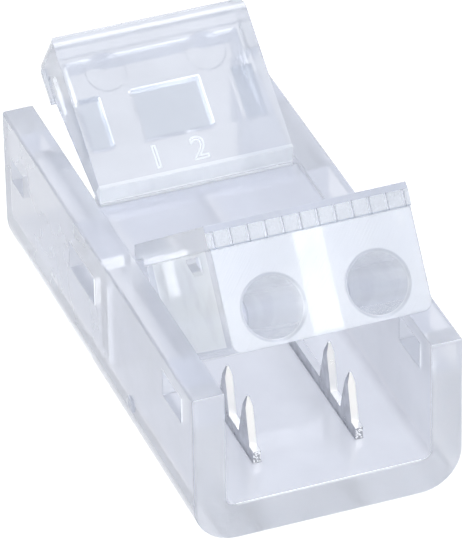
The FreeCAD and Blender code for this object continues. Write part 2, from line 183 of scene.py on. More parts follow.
class FilmSettings(bpy.types.PropertyGroup):
    """Film hinges that join both lids to the bridge."""

    width: FloatProperty(
        name="Film Width", description="Width of each film across the connector",
        subtype="DISTANCE", unit="LENGTH", min=0.001, max=0.02, precision=5, default=0.00796)
    thickness: FloatProperty(
        name="Film Thickness", description="Thickness of each film",
        subtype="DISTANCE", unit="LENGTH", min=0.00005, max=0.001, precision=6, default=0.00018)
    crinkle: FloatProperty(
        name="Crinkle", description="Height of the creases in the bent film",
        subtype="DISTANCE", unit="LENGTH", min=0, max=0.0002, precision=6, default=0.000045)
    clearness: FloatProperty(
        name="Film Clearness", description="Share of the light that passes the stressed film",
        subtype="FACTOR", min=0, max=1, default=0.3)
    seed: IntProperty(name="Seed", description="Seed of the creases", min=0, default=4)


class MarkSettings(bpy.types.PropertyGroup):
    """Raised track numbers on the strip lid and the gate mark on the housing."""

    height: FloatProperty(
        name="Number Height", description="Height of the raised numbers",
        subtype="DISTANCE", unit="LENGTH", min=0.0005, max=0.003, precision=5, default=0.00096)
    bead: FloatProperty(
        name="Bead", description="Half width of the bead that outlines the numbers",
        subtype="DISTANCE", unit="LENGTH", min=0.00001, max=0.0002, precision=6, default=0.00004)
    gate_diameter: FloatProperty(
        name="Gate Diameter", description="Diameter of the trimmed gate on the left wall",
        subtype="DISTANCE", unit="LENGTH", min=0.0002, max=0.002, precision=5, default=0.00072)


class StageSettings(bpy.types.PropertyGroup):
    """Floor, lamps and camera."""

    floor_colour: FloatVectorProperty(
        name="Floor Colour", description="Colour of the pale floor", subtype="COLOR",
        size=3, min=0, max=1, default=(0.9, 0.9, 0.9))
    lens: FloatProperty(
        name="Lens", description="Focal length for a 36 mm sensor", subtype="DISTANCE_CAMERA",
        unit="CAMERA", min=50, max=800, default=410.5)


# Node helpers


def link_nodes(tree, source, output, target, name):
    """A link between two sockets given by name or number."""
    tree.links.new(source.outputs[output], target.inputs[name])


def new_group(name, inputs, outputs):
    """An empty shader node group with the given sockets, and its two end nodes."""
    group = bpy.data.node_groups.new(name, "ShaderNodeTree")
    kinds = {"value": "NodeSocketFloat", "colour": "NodeSocketColor", "vector": "NodeSocketVector"}
    for label, kind, default in inputs:
        socket = group.interface.new_socket(label, in_out="INPUT", socket_type=kinds[kind])
        socket.default_value = default
    for label, kind in outputs:
        group.interface.new_socket(label, in_out="OUTPUT", socket_type=kinds[kind])
    return group, group.nodes.new("NodeGroupInput"), group.nodes.new("NodeGroupOutput")


def noise(tree, scale, detail, vector=None):
    """A noise texture on the given vector socket."""
    node = tree.nodes.new("ShaderNodeTexNoise")
    node.inputs["Scale"].default_value = scale
    node.inputs["Detail"].default_value = detail
    if vector is not None:
        tree.links.new(vector, node.inputs["Vector"])
    return node


def spread(tree, value, low, high, to_low, to_high):
    """A clamped smooth map from one range of values to another."""
    node = tree.nodes.new("ShaderNodeMapRange")
    node.interpolation_type = "SMOOTHSTEP"
    for name, number in (("From Min", low), ("From Max", high), ("To Min", to_low), ("To Max", to_high)):
        node.inputs[name].default_value = number
    tree.links.new(value, node.inputs["Value"])
    return node.outputs["Result"]


def combine(tree, operation, first, second):
    """A math node on two values, each a socket or a number."""
    node = tree.nodes.new("ShaderNodeMath")
    node.operation = operation
    for index, value in enumerate((first, second)):
        if isinstance(value, (int, float)):
            node.inputs[index].default_value = value
        else:
            tree.links.new(value, node.inputs[index])
    return node.outputs[0]


def moulded_skin():
    """Faint flow ripples, fine haze and specks of a polished moulding."""
    group, start, end = new_group(
        "Moulded Skin",
        [("Gloss", "value", 0.1), ("Haze", "value", 0.05)],
        [("Roughness", "value"), ("Height", "value"), ("Cloud", "value")],
    )
    place = group.nodes.new("ShaderNodeTexCoord")
    stretch = group.nodes.new("ShaderNodeMapping")
    stretch.inputs["Scale"].default_value = (1.0, 0.28, 1.0)
    group.links.new(place.outputs["Object"], stretch.inputs["Vector"])
    ripples = noise(group, 700, 2.0, stretch.outputs["Vector"])
    cloud = noise(group, 420, 3.0, place.outputs["Object"])
    grit = noise(group, 6500, 1.0, place.outputs["Object"])
    specks = spread(group, grit.outputs["Fac"], 0.72, 0.78, 0.0, 1.0)
    haze = combine(group, "MULTIPLY", cloud.outputs["Fac"], start.outputs["Haze"])
    rough = combine(group, "ADD", start.outputs["Gloss"], haze)
    rough = combine(group, "ADD", rough, combine(group, "MULTIPLY", specks, 0.03))
    height = combine(group, "ADD", ripples.outputs["Fac"], combine(group, "MULTIPLY", specks, 0.01))
    group.links.new(rough, end.inputs["Roughness"])
    group.links.new(height, end.inputs["Height"])
    group.links.new(spread(group, cloud.outputs["Fac"], 0.3, 0.7, 0.0, 1.0), end.inputs["Cloud"])
    return group


def tool_marks():
    """Fine slanting streaks of a ground insert, and the grain of an etched one."""
    group, start, end = new_group(
        "Tool Marks",
        [("Slant", "vector", (0, 0, 0)), ("Grain Scale", "value", 12000)],
        [("Streaks", "value"), ("Grain", "value")],
    )
    place = group.nodes.new("ShaderNodeTexCoord")
    turn = group.nodes.new("ShaderNodeMapping")
    turn.vector_type = "TEXTURE"
    # Streaks are about 1 mm long and 0.06 mm wide
    turn.inputs["Scale"].default_value = (1 / 900, 1 / 900, 1 / 16000)
    group.links.new(start.outputs["Slant"], turn.inputs["Rotation"])
    group.links.new(place.outputs["Object"], turn.inputs["Vector"])
    streaks = noise(group, 1.0, 2.0, turn.outputs["Vector"])
    grain = noise(group, 1.0, 1.0, place.outputs["Object"])
    group.links.new(start.outputs["Grain Scale"], grain.inputs["Scale"])
    group.links.new(spread(group, streaks.outputs["Fac"], 0.3, 0.7, 0.0, 1.0), end.inputs["Streaks"])
    group.links.new(spread(group, grain.outputs["Fac"], 0.35, 0.65, 0.0, 1.0), end.inputs["Grain"])
    return group


def box_mask():
    """Where a point lies within a box of a piece's own frame, in millimetres."""
    group, start, end = new_group(
        "Box Mask",
        [("Axis", "vector", (0, 0, 0)), ("Tilt", "vector", (0, 0, 0)), ("Middle", "vector", (0, 0, 0)),
         ("Half Size", "vector", (1, 1, 1)), ("Fade", "value", 0.02)],
        [("Mask", "value")],
    )
    place = group.nodes.new("ShaderNodeTexCoord")
    own = group.nodes.new("ShaderNodeMapping")
    own.vector_type = "TEXTURE"
    own.inputs["Scale"].default_value = (MM, MM, MM)
    group.links.new(place.outputs["Object"], own.inputs["Vector"])
    group.links.new(start.outputs["Axis"], own.inputs["Location"])
    group.links.new(start.outputs["Tilt"], own.inputs["Rotation"])
    beyond = own.outputs["Vector"]
    for operation, name in (("SUBTRACT", "Middle"), ("ABSOLUTE", None), ("SUBTRACT", "Half Size")):
        step = group.nodes.new("ShaderNodeVectorMath")
        step.operation = operation
        group.links.new(beyond, step.inputs[0])
        if name:
            group.links.new(start.outputs[name], step.inputs[1])
        beyond = step.outputs["Vector"]
    parts = group.nodes.new("ShaderNodeSeparateXYZ")
    group.links.new(beyond, parts.inputs["Vector"])
    most = combine(group, "MAXIMUM", parts.outputs["X"], parts.outputs["Y"])
    most = combine(group, "MAXIMUM", most, parts.outputs["Z"])
    share = combine(group, "DIVIDE", most, start.outputs["Fade"])
    group.links.new(spread(group, share, 0.0, 1.0, 1.0, 0.0), end.inputs["Mask"])
    return group


def rolled_sheet():
    """Rolling lines and small dents of thin plated sheet, and masks of its torn ends and of its edges,
    which take a painted highlight.
    """
    group, start, end = new_group(
        "Rolled Sheet",
        [("Polish", "value", 0.2), ("Wear", "value", 0.15)],
        [(name, "value") for name in ("Roughness", "Height", "Shade", "Edge", "Torn")],
    )
    place = group.nodes.new("ShaderNodeTexCoord")
    facing = group.nodes.new("ShaderNodeSeparateXYZ")
    group.links.new(place.outputs["Normal"], facing.inputs["Vector"])
    # Faces that don't face across the sheet are the edges, which take a painted highlight
    across = combine(group, "ABSOLUTE", facing.outputs["X"], 0.0)
    group.links.new(spread(group, across, 0.5, 0.8, 1.0, 0.0), end.inputs["Edge"])
    along = combine(group, "ABSOLUTE", facing.outputs["Y"], 0.0)
    torn = noise(group, 11000, 1.0, place.outputs["Object"])
    torn = spread(group, torn.outputs["Fac"], 0.42, 0.55, 0.0, 1.0)
    torn = combine(group, "MULTIPLY", torn, spread(group, along, 0.985, 0.995, 0.0, 1.0))
    group.links.new(torn, end.inputs["Torn"])
    stretch = group.nodes.new("ShaderNodeMapping")
    stretch.inputs["Scale"].default_value = (1.0, 0.08, 1.0)
    group.links.new(place.outputs["Object"], stretch.inputs["Vector"])
    lines = noise(group, 9000, 2.0, stretch.outputs["Vector"])
    dents = noise(group, 2200, 3.0, place.outputs["Object"])
    wear = combine(group, "MULTIPLY", dents.outputs["Fac"], start.outputs["Wear"])
    group.links.new(combine(group, "ADD", start.outputs["Polish"], wear), end.inputs["Roughness"])
    deep = combine(group, "MULTIPLY", dents.outputs["Fac"], 1.5)
    group.links.new(combine(group, "ADD", lines.outputs["Fac"], deep), end.inputs["Height"])
    group.links.new(spread(group, dents.outputs["Fac"], 0.35, 0.7, 0.0, 1.0), end.inputs["Shade"])
    return group


def shared_group(build, name):
    """A node group that is built once and then shared."""
    return bpy.data.node_groups.get(name) or build()


def new_material(name, display_colour):
    """A node material with its Principled shader."""
    material = bpy.data.materials.new(name)
    material.use_nodes = True
    material.diffuse_color = (*display_colour, 1)
    return material, material.node_tree, material.node_tree.nodes["Principled BSDF"]


def place_group(tree, group, **values):
    """The group as a node of the tree, with its own values."""
    node = tree.nodes.new("ShaderNodeGroup")
    node.node_tree = group
    for name, value in values.items():
        node.inputs[name.replace("_", " ")].default_value = value
    return node


def add_bump(tree, shader, height, distance, strength, edge_round):
    """A bump from a height socket, over rounded edges, into the shader's normal."""
    edges = tree.nodes.new("ShaderNodeBevel")
    edges.samples = EDGE_SAMPLES
    edges.inputs["Radius"].default_value = edge_round
    bump = tree.nodes.new("ShaderNodeBump")
    bump.inputs["Distance"].default_value = distance
    bump.inputs["Strength"].default_value = strength
    tree.links.new(height, bump.inputs["Height"])
    tree.links.new(edges.outputs["Normal"], bump.inputs["Normal"])
    tree.links.new(bump.outputs["Normal"], shader.inputs["Normal"])


def mix_colours(tree, factor, first, second):
    """A colour between two colours, by a factor socket."""
    node = tree.nodes.new("ShaderNodeMix")
    node.data_type = "RGBA"
    for name, value in (("A", first), ("B", second)):
        socket = next(s for s in node.inputs if s.name == name and s.type == "RGBA")
        if isinstance(value, bpy.types.NodeSocket):
            tree.links.new(value, socket)
        else:
            socket.default_value = (*value, 1)
    tree.links.new(factor, node.inputs[0])
    return next(s for s in node.outputs if s.type == "RGBA")


def shade(colour, factor):
    """A colour made lighter or darker, within 0 to 1."""
    return tuple(min(1.0, channel * factor) for channel in colour)


def let_light_inside(tree, shader, share):
    """Alpha that opens the faces to shadow rays and scattered rays, so light reaches the inside."""
    path = tree.nodes.new("ShaderNodeLightPath")
    soft = combine(tree, "MAXIMUM", path.outputs["Is Shadow Ray"], path.outputs["Is Diffuse Ray"])
    passed = combine(tree, "MULTIPLY", soft, share)
    tree.links.new(combine(tree, "SUBTRACT", 1.0, passed), shader.inputs["Alpha"])


def clear_plastic(name, colour, plastic, place=None, patches=(), clearness=None):
    """Clear moulded plastic. Each patch is a box of the piece with a finish of its own; its tone can paint
    shade or a highlight, and its glint paints a highlight that glows.
    """
    material, tree, shader = new_material(name, colour)
    skin = place_group(tree, shared_group(moulded_skin, "Moulded Skin"),
                       Gloss=plastic.gloss_roughness, Haze=0.06)
    shader.inputs["IOR"].default_value = PLASTIC_IOR
    passing = plastic.clearness if clearness is None else clearness
    shader.inputs["Transmission Weight"].default_value = passing
    tint = mix_colours(tree, skin.outputs["Cloud"], shade(colour, 0.97), shade(colour, 1.03))
    rough = skin.outputs["Roughness"]
    height = skin.outputs["Height"]
    painted_glow = None
    if patches:
        axis, tilt = place
        slant = Matrix.Rotation(tilt, 3, "X") @ Matrix.Rotation(STREAK_SLANT, 3, "Y")
        marks = place_group(tree, shared_group(tool_marks, "Tool Marks"), Slant=slant.to_euler())
        uneven = spread(tree, skin.outputs["Cloud"], 0.0, 0.6, 0.55, 1.0)
    for patch in patches:
        box = place_group(tree, shared_group(box_mask, "Box Mask"), Axis=axis, Tilt=(tilt, 0, 0),
                          Middle=patch.middle, Half_Size=patch.half, Fade=patch.fade)
        mask = box.outputs["Mask"]
        tint = mix_colours(tree, mask, tint, patch.tone)
        rough = combine(tree, "ADD", rough, combine(tree, "MULTIPLY", mask, patch.matt))
        # The glint paints a highlight as a glow on the patch, though the plastic is no lamp
        if patch.painted_glint:
            share = combine(tree, "MULTIPLY", mask, combine(tree, "MULTIPLY", uneven, patch.painted_glint))
            painted_glow = share if painted_glow is None else combine(tree, "MAXIMUM", painted_glow, share)
        for name, depth in (("Streaks", patch.streaks), ("Grain", patch.grain)):
            if depth:
                mark = combine(tree, "MULTIPLY", marks.outputs[name], depth)
                height = combine(tree, "ADD", height, combine(tree, "MULTIPLY", mark, mask))
    tree.links.new(tint, shader.inputs["Base Color"])
    tree.links.new(rough, shader.inputs["Roughness"])
    if painted_glow is not None:
        # The painted glow is only seen, so that no face has to be sampled as a lamp
        material.cycles.emission_sampling = "NONE"
        shader.inputs["Emission Strength"].default_value = plastic.painted_glow_strength
        painted_glow_colour = mix_colours(tree, painted_glow, (0, 0, 0), (0.95, 0.97, 1.0))
        tree.links.new(painted_glow_colour, shader.inputs["Emission Color"])
    let_light_inside(tree, shader, plastic.light_passing)
    add_bump(tree, shader, height, plastic.ripple_depth, 1.0, plastic.edge_round)
    return material


def paint(piece, material):
    """The material on every slot of the piece."""
    piece.data.materials.clear()
    piece.data.materials.append(material)


def dress_node(name, material):
    """A CAD node's finish."""
    paint(frame["nodes"][name], material)


def lid_way(along, up, tilt):
    """A direction in a lid's own frame, turned to where the lid stands."""
    return Vector((0, along, up)) @ Matrix.Rotation(tilt, 3, "X").transposed()


def lid_box(name, axis, tilt):
    """Lowest and highest corner of a lid in its own frame, in millimetres from its hinge axis."""
    turn = Matrix.Rotation(-tilt, 3, "X")
    points = [turn @ (vertex.co - axis) / MM for vertex in frame["nodes"][name].data.vertices]
    return [Vector([pick(point[k] for point in points) for k in range(3)]) for pick in (min, max)]


# Near white tone painted on the frosted walls and edges as a painted highlight
PAINTED_HIGHLIGHT_TONE = (0.94, 0.97, 1)


def wire_lid_patches():
    """The grained grip with a painted sheen, the streaked end of the block painted paler, the painted
    shadow of its shut line, the bores painted lighter, and painted highlights at the core and on the
    block's side.
    """
    low, high = lid_box("wire_lid", WIRE_AXIS, -LID_TILT)
    grip_top, grip_end = high.z - 0.26, high.z - 0.9
    return (
        # Grained grip, lifted by a painted sheen
        Patch((0, low.y, (grip_top + grip_end) / 2), (5, 0.03, (grip_top - grip_end) / 2 - 0.03),
              (0.92, 0.945, 0.99), matt=0.3, grain=3, painted_glint=0.07),
        # Streaked end of the block, painted paler for the light it catches
        Patch((0, low.y, (grip_end + low.z) / 2), (5, 0.08, (grip_end - low.z) / 2 - 0.02),
              (0.91, 0.94, 1), matt=0.03, streaks=1.2),
        # Painted shadow along the shut line under the grip
        Patch((0, low.y, grip_end), (5, 0.1, 0.02), (0.55, 0.6, 0.68), matt=0.2),
        # Bores, painted lighter with a faint painted glow against the shade inside them
        Patch((0, -6.2, -2.95), (3.5, 3.55, 1.25), (0.91, 0.93, 1), matt=0.05, streaks=0.8, painted_glint=0.04),
        # Painted highlights on the core's wall behind the end face and on the block's left side
        Patch((0, low.y + 0.95, -2.3), (0.65, 0.04, 1.9), PAINTED_HIGHLIGHT_TONE, matt=0.1, painted_glint=0.16),
        Patch((-3.95, -5.5, -2.2), (0.04, 3.6, 1.8), PAINTED_HIGHLIGHT_TONE, matt=0.1, painted_glint=0.06),
    )


def housing_patches():
    """Matt mouth faces, the front one lifted by a painted sheen, and painted highlights on the floor's
    edges, the ends of the windows, the core, the stop wall and low on the left wall.
    """
    low, high = (Vector(corner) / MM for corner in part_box("housing"))
    tone = (0.9, 0.92, 0.98)
    window, core, stop = low.y + 1.25, 0.085, -0.665
    return (
        # Front mouth face, matt, paler and lifted by a painted sheen
        Patch((0, low.y, high.z / 2), (6, 0.04, high.z / 2), (0.92, 0.935, 1),
              matt=0.28, grain=0.4, painted_glint=0.045),
        Patch((0, high.y, high.z / 2), (6, 0.04, high.z / 2), tone, matt=0.2, grain=0.4),
        # Painted highlight along the floor's front edge
        Patch((0, low.y, 1.58), (3.7, 0.05, 0.03), PAINTED_HIGHLIGHT_TONE, matt=0.2, painted_glint=0.25),
        # Painted highlights at the ends of the windows, the core and the stop wall
        Patch((-5.2, window, 5.475), (0.12, 0.03, 0.5), PAINTED_HIGHLIGHT_TONE, matt=0.3, painted_glint=0.5),
        Patch((4.34, window, 5.475), (0.12, 0.03, 0.5), PAINTED_HIGHLIGHT_TONE, matt=0.3, painted_glint=0.5),
        Patch((-4.77, core, 4.775), (0.62, 0.03, 0.6), PAINTED_HIGHLIGHT_TONE, matt=0.3, painted_glint=0.4),
        Patch((-4.05, stop, 3.6), (0.1, 0.03, 1.8), PAINTED_HIGHLIGHT_TONE, matt=0.3, painted_glint=0.5),
        # Painted glow low along the left wall
        Patch((-5.3, 5.0, 0.9), (0.12, 4.0, 0.25), PAINTED_HIGHLIGHT_TONE, painted_glint=0.16, fade=0.5),
    )


def strip_lid_patches():
    """Matt walls of the cored side with painted highlights, a painted highlight on the bevel at the hinge,
    and painted shade on the roofs of the recesses.
    """
    # Matt walls of the cored side, each with the strength of its painted highlight
    walls = (
        ((-2.72, 3.2, -0.4), (0.03, 1.0, 0.32), 1.0),
        ((1.42, 3.2, -0.4), (0.03, 1.0, 0.32), 1.0),
        ((0, 4.27, -0.4), (1.42, 0.03, 0.32), 0.9),
        ((0, 5.99, -0.9), (3.4, 0.03, 0.22), 0.45),
        ((-3.6, 5.0, -0.9), (0.03, 0.8, 0.25), 0.6),
        ((3.6, 3.9, -0.8), (0.03, 1.0, 0.2), 0.3),
    )
    painted_wall_glints = (Patch(middle, half, PAINTED_HIGHLIGHT_TONE, matt=0.4, grain=0.5, painted_glint=painted_glint) for middle, half, painted_glint in walls)
    return (
        *painted_wall_glints,
        # Painted highlight on the bevel at the hinge
        Patch((0, 0.15, 0.38), (4.1, 0.3, 0.26), (0.89, 0.925, 1), matt=0.1, painted_glint=0.075),
        # Painted shade on the roofs of the recesses
        Patch((0, 3.18, -0.1), (3.6, 1.1, 0.03), (0.6, 0.66, 0.77), matt=0.05, grain=0.3),
    )


class CONNECTOR_OT_mouldings(bpy.types.Operator):
    """Clear plastic on the housing and both lids"""

    bl_idname = "connector.mouldings"
    bl_label = "Mouldings"

    def execute(self, context):
        plastic = context.scene.connector_plastic
        pieces = (
            ("housing", plastic.housing_colour[:], (Vector(), 0.0), housing_patches(), "clear_body"),
            ("wire_lid", plastic.lid_colour[:], (WIRE_AXIS, -LID_TILT), wire_lid_patches(), "clear_lids"),
            ("strip_lid", plastic.lid_colour[:], (STRIP_AXIS, LID_TILT), strip_lid_patches(), "clear_lids"),
        )
        for name, colour, place, patches, slot in pieces:
            finish = "clear " + name.replace("_", " ")
            dress_node(name, clear_plastic(finish, colour, plastic, place, patches))
        return {"FINISHED"}


class CONNECTOR_OT_contacts(bpy.types.Operator):
    """Bright plating on both stamped contacts, with a painted highlight on their sheared edges"""

    bl_idname = "connector.contacts"
    bl_label = "Contacts"

    def execute(self, context):
        metal = context.scene.connector_metal
        colour = metal.plating_colour[:]
        material, tree, shader = new_material("bright plating", colour)
        sheet = place_group(tree, shared_group(rolled_sheet, "Rolled Sheet"),
                            Polish=metal.plating_roughness, Wear=0.16)
        shader.inputs["Metallic"].default_value = 1.0
        tint = mix_colours(tree, sheet.outputs["Shade"], shade(colour, 0.85), shade(colour, 1.1))
        # Sheared edges, away from the plated sides, get a painted highlight
        tint = mix_colours(tree, sheet.outputs["Edge"], tint, metal.edge_highlight_colour[:])
        tint = mix_colours(tree, sheet.outputs["Torn"], tint, shade(colour, 0.65))
        tree.links.new(tint, shader.inputs["Base Color"])
        tree.links.new(sheet.outputs["Roughness"], shader.inputs["Roughness"])
        add_bump(tree, shader, sheet.outputs["Height"], ROLLING_DEPTH, ROLLING_STRENGTH, SHEET_EDGE_ROUND)
        for name in ("contact_left", "contact_right"):
            dress_node(name, material)
        return {"FINISHED"}


def film_tree():
    """A tree that sweeps a film's section along its bend, and creases it."""
    tree = bpy.data.node_groups.new("Hinge Film", "GeometryNodeTree")
    for label, kind, default in (
        ("Width", "NodeSocketFloat", 0.008), ("Thickness", "NodeSocketFloat", 0.0002),
        ("Start", "NodeSocketVector", (0, 0, 0)), ("Start Handle", "NodeSocketVector", (0, 0, 0)),
        ("End Handle", "NodeSocketVector", (0, 0, 0)), ("End", "NodeSocketVector", (0, 0, 0)),
        ("Crinkle", "NodeSocketFloat", 0.00002), ("Seed", "NodeSocketInt", 1),
        ("Material", "NodeSocketMaterial", None),
    ):
        socket = tree.interface.new_socket(label, in_out="INPUT", socket_type=kind)
        if default is not None:
            socket.default_value = default
    tree.interface.new_socket("Geometry", in_out="OUTPUT", socket_type="NodeSocketGeometry")
    start, end = tree.nodes.new("NodeGroupInput"), tree.nodes.new("NodeGroupOutput")
    bend = tree.nodes.new("GeometryNodeCurvePrimitiveBezierSegment")
    bend.inputs["Resolution"].default_value = FILM_BEND_STEPS
    for name in ("Start", "Start Handle", "End Handle", "End"):
        link_nodes(tree, start, name, bend, name)
    upright = tree.nodes.new("GeometryNodeSetCurveNormal")
    upright.mode = "Z_UP"
    link_nodes(tree, bend, "Curve", upright, "Curve")
    section = tree.nodes.new("GeometryNodeCurvePrimitiveQuadrilateral")
    link_nodes(tree, start, "Width", section, "Width")
    link_nodes(tree, start, "Thickness", section, "Height")
    spaced = tree.nodes.new("GeometryNodeResampleCurve")
    spaced.inputs["Count"].default_value = FILM_SECTION_POINTS
    link_nodes(tree, section, "Curve", spaced, "Curve")
    swept = tree.nodes.new("GeometryNodeCurveToMesh")
    swept.inputs["Fill Caps"].default_value = True
    link_nodes(tree, upright, "Curve", swept, "Curve")
    link_nodes(tree, spaced, "Curve", swept, "Profile Curve")
    creases = tree.nodes.new("ShaderNodeTexNoise")
    creases.noise_dimensions = "4D"
    creases.inputs["Scale"].default_value = FILM_CREASE_SCALE
    creases.inputs["Detail"].default_value = 2
    link_nodes(tree, start, "Seed", creases, "W")
    lift = tree.nodes.new("ShaderNodeMapRange")
    lift.inputs["To Min"].default_value = -1
    lift.inputs["To Max"].default_value = 1
    link_nodes(tree, creases, "Fac", lift, "Value")
    scaled = tree.nodes.new("ShaderNodeMath")
    scaled.operation = "MULTIPLY"
    link_nodes(tree, lift, "Result", scaled, 0)
    link_nodes(tree, start, "Crinkle", scaled, 1)
    rise = tree.nodes.new("ShaderNodeCombineXYZ")
    link_nodes(tree, scaled, "Value", rise, "Z")
    moved = tree.nodes.new("GeometryNodeSetPosition")
    link_nodes(tree, swept, "Mesh", moved, "Geometry")
    link_nodes(tree, rise, "Vector", moved, "Offset")
    whole = tree.nodes.new("GeometryNodeRealizeInstances")
    link_nodes(tree, moved, "Geometry", whole, "Geometry")
    finish = tree.nodes.new("GeometryNodeSetMaterial")
    link_nodes(tree, whole, "Geometry", finish, "Geometry")
    link_nodes(tree, start, "Material", finish, "Material")
    link_nodes(tree, finish, "Geometry", end, "Geometry")
    return tree


def made_by_nodes(name, tree, values):
    """A plain mesh object that holds what the tree makes with the given inputs."""
    carrier = bpy.data.objects.new(name, bpy.data.meshes.new(name))
    bpy.context.scene.collection.objects.link(carrier)
    modifier = carrier.modifiers.new("shape", "NODES")
    modifier.node_group = tree
    for item in tree.interface.items_tree:
        if item.in_out == "INPUT" and item.name in values:
            modifier[item.identifier] = values[item.name]
    graph = bpy.context.evaluated_depsgraph_get()
    mesh = bpy.data.meshes.new_from_object(carrier.evaluated_get(graph))
    carrier.modifiers.clear()
    carrier.data = mesh
    mesh.name = name
    return carrier


def tidy_mesh(piece):
    """Doubles merged, and faces turned outwards."""
    work = bmesh.new()
    work.from_mesh(piece.data)
    bmesh.ops.remove_doubles(work, verts=work.verts, dist=1e-7)
    bmesh.ops.recalc_face_normals(work, faces=work.faces)
    work.to_mesh(piece.data)
    work.free()


class CONNECTOR_OT_hinge_films(bpy.types.Operator):
    """Creased films between the bridge and both lids"""

    bl_idname = "connector.hinge_films"
    bl_label = "Hinge Films"

    def execute(self, context):
        film = context.scene.connector_film
        plastic = context.scene.connector_plastic
        colour = shade(plastic.lid_colour[:], 1.05)
        material = clear_plastic("creased film", colour, plastic, clearness=film.clearness)
        tree = film_tree()
        sides = (
            ("wire_hinge_film", WIRE_AXIS, 1, "wire_cover", -LID_TILT),
            ("strip_hinge_film", STRIP_AXIS, -1, "strip_cover", LID_TILT),
        )
        for name, axis, towards_bridge, cover, tilt in sides:
            root = axis + Vector((0, towards_bridge * FILM_ROOT_INSET, -FILM_ROOT_DROP)) * MM
            leaf = axis + lid_way(towards_bridge * FILM_LEAF_INSET, 0, tilt) * MM
            root_handle = root - Vector((0, towards_bridge * FILM_ROOT_HANDLE, 0)) * MM
            leaf_handle = leaf + lid_way(towards_bridge * FILM_LEAF_HANDLE, 0, tilt) * MM
            piece = made_by_nodes(name, tree, {
                "Width": film.width, "Thickness": film.thickness, "Crinkle": film.crinkle,
                "Start": root, "Start Handle": root_handle, "End Handle": leaf_handle, "End": leaf,
                "Seed": film.seed, "Material": material,
            })
            tidy_mesh(piece)
            paint(piece, material)
            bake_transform(piece)
        return {"FINISHED"}


class CONNECTOR_OT_track_numbers(bpy.types.Operator):
    """Raised outline numbers of the two tracks on the strip lid, with a painted highlight on them"""

    bl_idname = "connector.track_numbers"
    bl_label = "Track Numbers"

    def execute(self, context):
        marks = context.scene.connector_marks
        plastic = context.scene.connector_plastic
        curve = bpy.data.curves.new("track_numbers", "FONT")
        curve.body = "1   2"
        curve.fill_mode = "NONE"
        curve.size = marks.height * TEXT_SIZE_FOR_HEIGHT
        curve.bevel_depth = marks.bead
        curve.bevel_resolution = 2
        curve.resolution_u = 4
        writing = bpy.data.objects.new("track_numbers_curve", curve)
        context.scene.collection.objects.link(writing)
        graph = context.evaluated_depsgraph_get()
        mesh = bpy.data.meshes.new_from_object(writing.evaluated_get(graph))
        bpy.data.objects.remove(writing)
        piece = bpy.data.objects.new("track_numbers", mesh)
        context.scene.collection.objects.link(piece)
        lid = frame["nodes"]["strip_lid"]
        up = lid_way(0, 1, LID_TILT)
        top = max(vertex.co.dot(up) for vertex in lid.data.vertices)
        left, from_hinge = NUMBERS_CORNER
        corner = STRIP_AXIS + lid_way(from_hinge, 0, LID_TILT) * MM
        corner += up * (top - corner.dot(up)) + Vector((left, 0, 0)) * MM
        turn = Matrix.Rotation(LID_TILT, 4, "X")
        mesh.transform(Matrix.Translation(corner) @ turn)
        tidy_mesh(piece)
        # Painted highlight that glows over the whole of the numbers
        painted_highlight = Patch((0, 0, 0), (5, 5, 5), PAINTED_HIGHLIGHT_TONE, matt=0.15, painted_glint=0.13)
        place = (STRIP_AXIS, LID_TILT)
        paint(piece, clear_plastic("raised numbers", plastic.lid_colour[:], plastic, place, (painted_highlight,)))
        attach(piece, "strip_cover")
        return {"FINISHED"}


class CONNECTOR_OT_gate_mark(bpy.types.Operator):
    """Trimmed gate on the outside of the left wall"""

    bl_idname = "connector.gate_mark"
    bl_label = "Gate Mark"

    def execute(self, context):
        marks = context.scene.connector_marks
        plastic = context.scene.connector_plastic
        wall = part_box("housing")[0].x + GATE_SINK
        along, up = (value * MM for value in GATE_MIDDLE)
        turns = [2 * math.pi * k / GATE_STEPS for k in range(GATE_STEPS)]
        work = bmesh.new()
        loops = []
        for share, rise in GATE_RINGS:
            radius = share * marks.gate_diameter
            ring = [(along + radius * math.cos(turn), up + radius * math.sin(turn)) for turn in turns]
            loops.append([work.verts.new((wall - rise * MM, *point)) for point in ring])
        for inner, outer in zip(loops[1:], loops):
            for k in range(GATE_STEPS):
                after = (k + 1) % GATE_STEPS
                work.faces.new((outer[k], outer[after], inner[after], inner[k]))
        work.faces.new(loops[-1])
        work.faces.new(loops[0])
        mesh = bpy.data.meshes.new("gate_mark")
        bmesh.ops.recalc_face_normals(work, faces=work.faces)
        work.to_mesh(mesh)
        work.free()
        piece = bpy.data.objects.new("gate_mark", mesh)
        context.scene.collection.objects.link(piece)
        paint(piece, clear_plastic("trimmed gate", plastic.housing_colour[:], plastic))
        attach(piece, "base")
        return {"FINISHED"}


def soft_lamp(name, place, target, size, watts):
    """A soft rectangular lamp turned to a point."""
    lamp = bpy.data.lights.new(name, "AREA")
    lamp.shape = "RECTANGLE"
    lamp.size, lamp.size_y = size
    lamp.energy = watts
    holder = bpy.data.objects.new(name, lamp)
    holder.location = place
    holder.rotation_euler = (Vector(target) - Vector(place)).to_track_quat("-Z", "Y").to_euler()
    bpy.context.scene.collection.objects.link(holder)


def show_white(tree, rays, white_kind, shader_output, target):
    """White where the named rays see it, and the given shader elsewhere."""
    path = tree.nodes.new("ShaderNodeLightPath")
    seen = path.outputs[rays[0]]
    for ray in rays[1:]:
        seen = combine(tree, "MAXIMUM", seen, path.outputs[ray])
    white = tree.nodes.new(white_kind)
    white.inputs["Color"].default_value = (1, 1, 1, 1)
    white.inputs["Strength"].default_value = 1.0
    mix = tree.nodes.new("ShaderNodeMixShader")
    tree.links.new(seen, mix.inputs[0])
    tree.links.new(shader_output, mix.inputs[1])
    tree.links.new(white.outputs[0], mix.inputs[2])
    tree.links.new(mix.outputs[0], target.inputs["Surface"])


